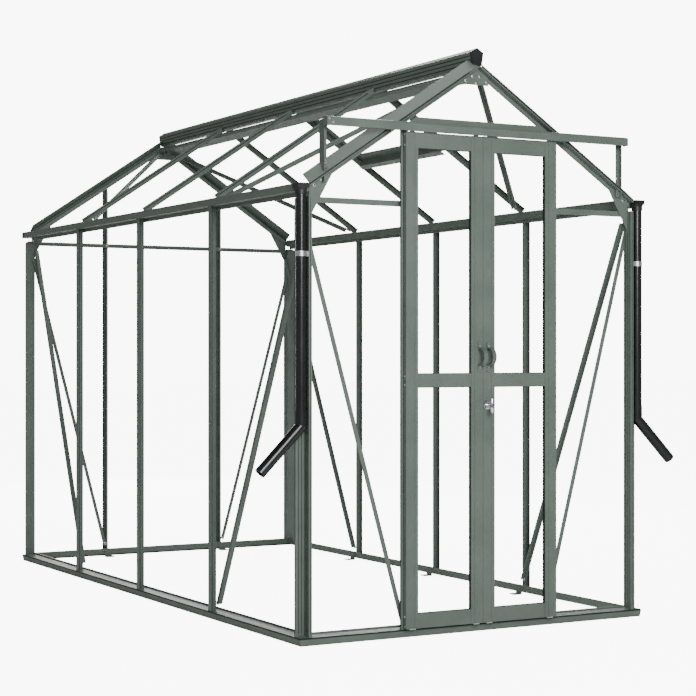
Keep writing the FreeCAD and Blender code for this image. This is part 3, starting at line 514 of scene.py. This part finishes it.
def lathe(mesh, outline_mm, steps=32):
    """Spin (radius, distance) points round the line that runs out of the door through the lock."""
    verts = [mesh.verts.new(lock_centre + Vector((radius * MM, -(distance * MM), 0)))
             for radius, distance in outline_mm]
    edges = [mesh.edges.new(pair) for pair in zip(verts, verts[1:])]
    bmesh.ops.spin(mesh, geom=verts + edges, cent=lock_centre, axis=Vector((0, 1, 0)),
                   angle=math.tau, steps=steps, use_merge=True)
    bmesh.ops.remove_doubles(mesh, verts=mesh.verts[:], dist=0.00001)


def at_lock(distance_mm, up_mm):
    """A point on the lock's upright middle, some distance out of the door."""
    return lock_centre + Vector((0, -distance_mm * MM, up_mm * MM))


knob = bmesh.new()
lathe(knob, [(0, 33), (3.4, 33), (4.2, 31), (4.4, 14), (4.6, 10), (5.0, 6), (5.0, -16), (0, -16)])
grip_shape = Matrix.Diagonal((8 * MM, 6.6 * MM, 26 * MM, 1))
bmesh.ops.create_uvsphere(knob, u_segments=32, v_segments=20, radius=1.0,
                          matrix=Matrix.Translation(at_lock(31, 0)) @ grip_shape)
strip(knob, at_lock(-16, -6), at_lock(-16, 26), (1, 0, 0), (0, 1, 0), 12 * MM, 1.2 * MM, 0.4 * MM)
lock = finish_piece("lock_grip", knob, chrome, "lock")
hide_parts("lock_knob")

# %% [markdown]
# A keyhole is a round hole over a slot. Here it is a thin black inlay in the grip's face, painted shade
# in place of the hole's dark depth, and it turns with the grip. The rose is the ring that the stem
# comes out of, and it stays on the door.

# %% The keyhole's painted shade and the rose
# a black inlay of painted shade in place of the keyhole
keyhole = bmesh.new()
disc(keyhole, at_lock(37, 3), (0, -1, 0), 2.4 * MM, 0.9 * MM, bevel=0.2 * MM)
strip(keyhole, at_lock(36.8, -4), at_lock(36.8, 3), (1, 0, 0), (0, -1, 0), 2.2 * MM, 0.9 * MM)
finish_piece("lock_keyhole_shade", keyhole, moulded_black_and_shade, "lock")

rose = bmesh.new()
lathe(rose, [(6.0, 0.0), (14.6, 0.0), (15.0, 1.4), (14.2, 4.2), (12.4, 5.6), (9.0, 6.2),
             (6.4, 6.0), (6.0, 5.2), (6.0, 0.0)])
finish_piece("lock_rose", rose, chrome, "right_door")

# %% [markdown]
# Bolts bite on washers. The heads are already there, so their places are read from them: each separate
# lump of the bolt part is one head. A washer a little wider than the head goes under each, and a thin
# black hexagon on the head is painted shade in place of its socket.

# %% Washers, and painted shade for the hexagon sockets
head_high, head_widest, gable_reach = 3.0 * MM, 11 * MM, 24 * MM


def lumps(source):
    """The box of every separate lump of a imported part."""
    mesh = bmesh.new()
    mesh.from_mesh(nodes[source].data)
    bmesh.ops.remove_doubles(mesh, verts=mesh.verts[:], dist=0.00002)
    seen, found = set(), []
    for first in mesh.verts:
        if first in seen:
            continue
        seen.add(first)
        group, edge = [], [first]
        while edge:
            vert = edge.pop()
            group.append(vert.co.copy())
            others = [link.other_vert(vert) for link in vert.link_edges]
            edge += [other for other in others if other not in seen]
            seen.update(others)
        found.append([Vector([pick(c[i] for c in group) for i in range(3)]) for pick in (min, max)])
    mesh.free()
    return found


def head_axis(middle, thin):
    """The way a head faces: inwards from a wall, outwards on a gable's face, or straight up."""
    axis = Vector((0, 0, 0))
    if thin == 0:
        axis.x = 1 if middle.x < 0 else -1
    elif thin == 1:
        to_front, to_rear = abs(middle.y - gable_front), abs(middle.y - gable_rear)
        outwards = -1 if to_front < to_rear else 1
        axis.y = outwards if min(to_front, to_rear) < gable_reach else -outwards
    else:
        axis.z = 1
    return axis


washers = bmesh.new()
# black hexagons of painted shade stand in for the bolt sockets
sockets = bmesh.new()
for low, high in lumps("frame_bolts"):
    size = high - low
    thin = min(range(3), key=lambda i: size[i])
    if size[thin] > head_high + 0.5 * MM or max(size) > head_widest:
        continue
    seat = (low + high) / 2
    axis = head_axis(seat, thin)
    seat[thin] = low[thin] if axis[thin] > 0 else high[thin]
    disc(washers, seat, axis, 6.4 * MM, 0.8 * MM, sides=28, bevel=0.2 * MM)
    disc(sockets, seat + axis * (head_high - 0.25 * MM), axis, 2.2 * MM, 0.4 * MM, sides=6)
finish_piece("bolt_washers", washers, zinc, "frame")
finish_piece("bolt_socket_shade", sockets, moulded_black_and_shade, "frame")

# %% [markdown]
# Where the two doors meet, each has a thin brush strip that keeps the draught out. It fills the gap
# with a soft dark line. Each brush stops short above and below the lock, so that the lock's cam can
# swing past it.

# %% Door brushes
lock_clearance, brush_end = 45 * MM, 6 * MM
for side_name, side in SIDES:
    low, high = corners(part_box(side_name + "_door_stiles"))
    x = min((low.x, high.x), key=abs) + side * 1.2 * MM
    y = high.y - 0.2 * MM
    brush = bmesh.new()
    for z0, z1 in ((low.z + brush_end, lock_z - lock_clearance),
                   (lock_z + lock_clearance, high.z - brush_end)):
        strip(brush, (x, y, z0), (x, y, z1), (1, 0, 0), (0, 1, 0), 3.0 * MM, 1.4 * MM, 0.4 * MM)
    finish_piece(side_name + "_door_brush", brush, rubber_and_shade_black, side_name + "_door")

# %% [markdown]
# The studio floor is white paper. It glows to the camera alone, so that it is plain white in view and
# throws no light of its own on the bars.

# %% Floor
eye_glow = 8.5
ground = bmesh.new()
bmesh.ops.create_grid(ground, x_segments=1, y_segments=1, size=40.0,
                      matrix=Matrix.Translation((0, 0, -0.0005)))
floor_data = bpy.data.meshes.new("studio_floor")
ground.to_mesh(floor_data)
ground.free()
floor = place_object("studio_floor", floor_data)
paper, paper_shader = surface("Seamless_paper_white", "F4F4F4", "F8F8F8", 400, 6, 0.1,
                              (0.85, 0.9))
tree = paper.node_tree
camera_only = add_node(tree, "ShaderNodeLightPath").outputs["Is Camera Ray"]
glow = add_node(tree, "ShaderNodeMath", {1: eye_glow}, {0: camera_only}, operation="MULTIPLY")
paper_shader.inputs["Emission Color"].default_value = (1, 1, 1, 1)
tree.links.new(glow.outputs["Value"], paper_shader.inputs["Emission Strength"])
floor_data.materials.append(paper)

# %% [markdown]
# Four soft round lights: one overhead, a stronger one in front of the doors, a strong one behind on the
# right, and a low one behind. The overhead light makes the tops of the bars pale and leaves their
# inner sides dark, which is how a thin green-grey frame keeps its edges against white.

# %% Lights
def area_light(name, place, target, size, watts):
    """A round soft light at place, turned to target."""
    light = bpy.data.lights.new(name, "AREA")
    light.shape = "DISK"
    light.size = size
    light.energy = watts
    lamp = place_object(name, light)
    lamp.location = place
    lamp.rotation_euler = (Vector(target) - Vector(place)).to_track_quat("-Z", "Y").to_euler()
    print(name, watts, "W")


area_light("overhead_softbox", (0.4, 0.2, 5.0), (0, 0, 1.2), 3.0, 70)
area_light("front_softbox", (-1.1, -4.9, 2.3), (0.0, -1.2, 0.9), 1.8, 155)
area_light("rear_right_softbox", (2.8, 3.2, 3.8), (0.3, 0, 1.4), 2.0, 150)
area_light("rear_softbox", (1.6, 5.6, 1.5), (0, 1.2, 0.9), 2.2, 70)

# %% [markdown]
# Glossy paint needs something to reflect. The surround is brightest at the horizon and fades upwards.
# Looked at directly it is plain white.

# %% White surround
world = bpy.data.worlds.new("white_surround")
bpy.context.scene.world = world
world.use_nodes = True
room = world.node_tree
surround = next(n for n in room.nodes if n.type == "BACKGROUND")
direction = add_node(room, "ShaderNodeTexCoord").outputs["Generated"]
height = add_node(room, "ShaderNodeSeparateXYZ", links={"Vector": direction}).outputs["Z"]
band = add_node(room, "ShaderNodeMapRange",
                {"From Min": 0.05, "From Max": 0.4, "To Min": 0.5, "To Max": 0.12},
                {"Value": height}).outputs["Result"]
seen = add_node(room, "ShaderNodeLightPath").outputs["Is Camera Ray"]
brightness = add_node(room, "ShaderNodeMix", {"B": 9.0}, {"Factor": seen, "A": band},
                      data_type="FLOAT")
surround.inputs["Color"].default_value = (1, 1, 1, 1)
room.links.new(brightness.outputs["Result"], surround.inputs["Strength"])
print("surround: bright band at the horizon, white to the eye")

# %% [markdown]
# The camera stands level at chest height, to the left of the doors and some way off, with a long lens,
# so upright bars stay parallel. A slight shift frames the ridge and the base together.

# %% Camera
camera_data = bpy.data.cameras.new("camera")
camera = place_object("camera", camera_data)
camera.location = (-3.0932, -5.9439, 0.8788)
camera.rotation_euler = (math.radians(90), 0, -math.radians(29.093))
camera_data.sensor_width = 36.0
camera_data.lens = 91.805638
camera_data.shift_y = 0.00707471
bpy.context.scene.camera = camera
print("camera", tuple(round(c, 3) for c in camera.location), "lens", round(camera_data.lens, 1))
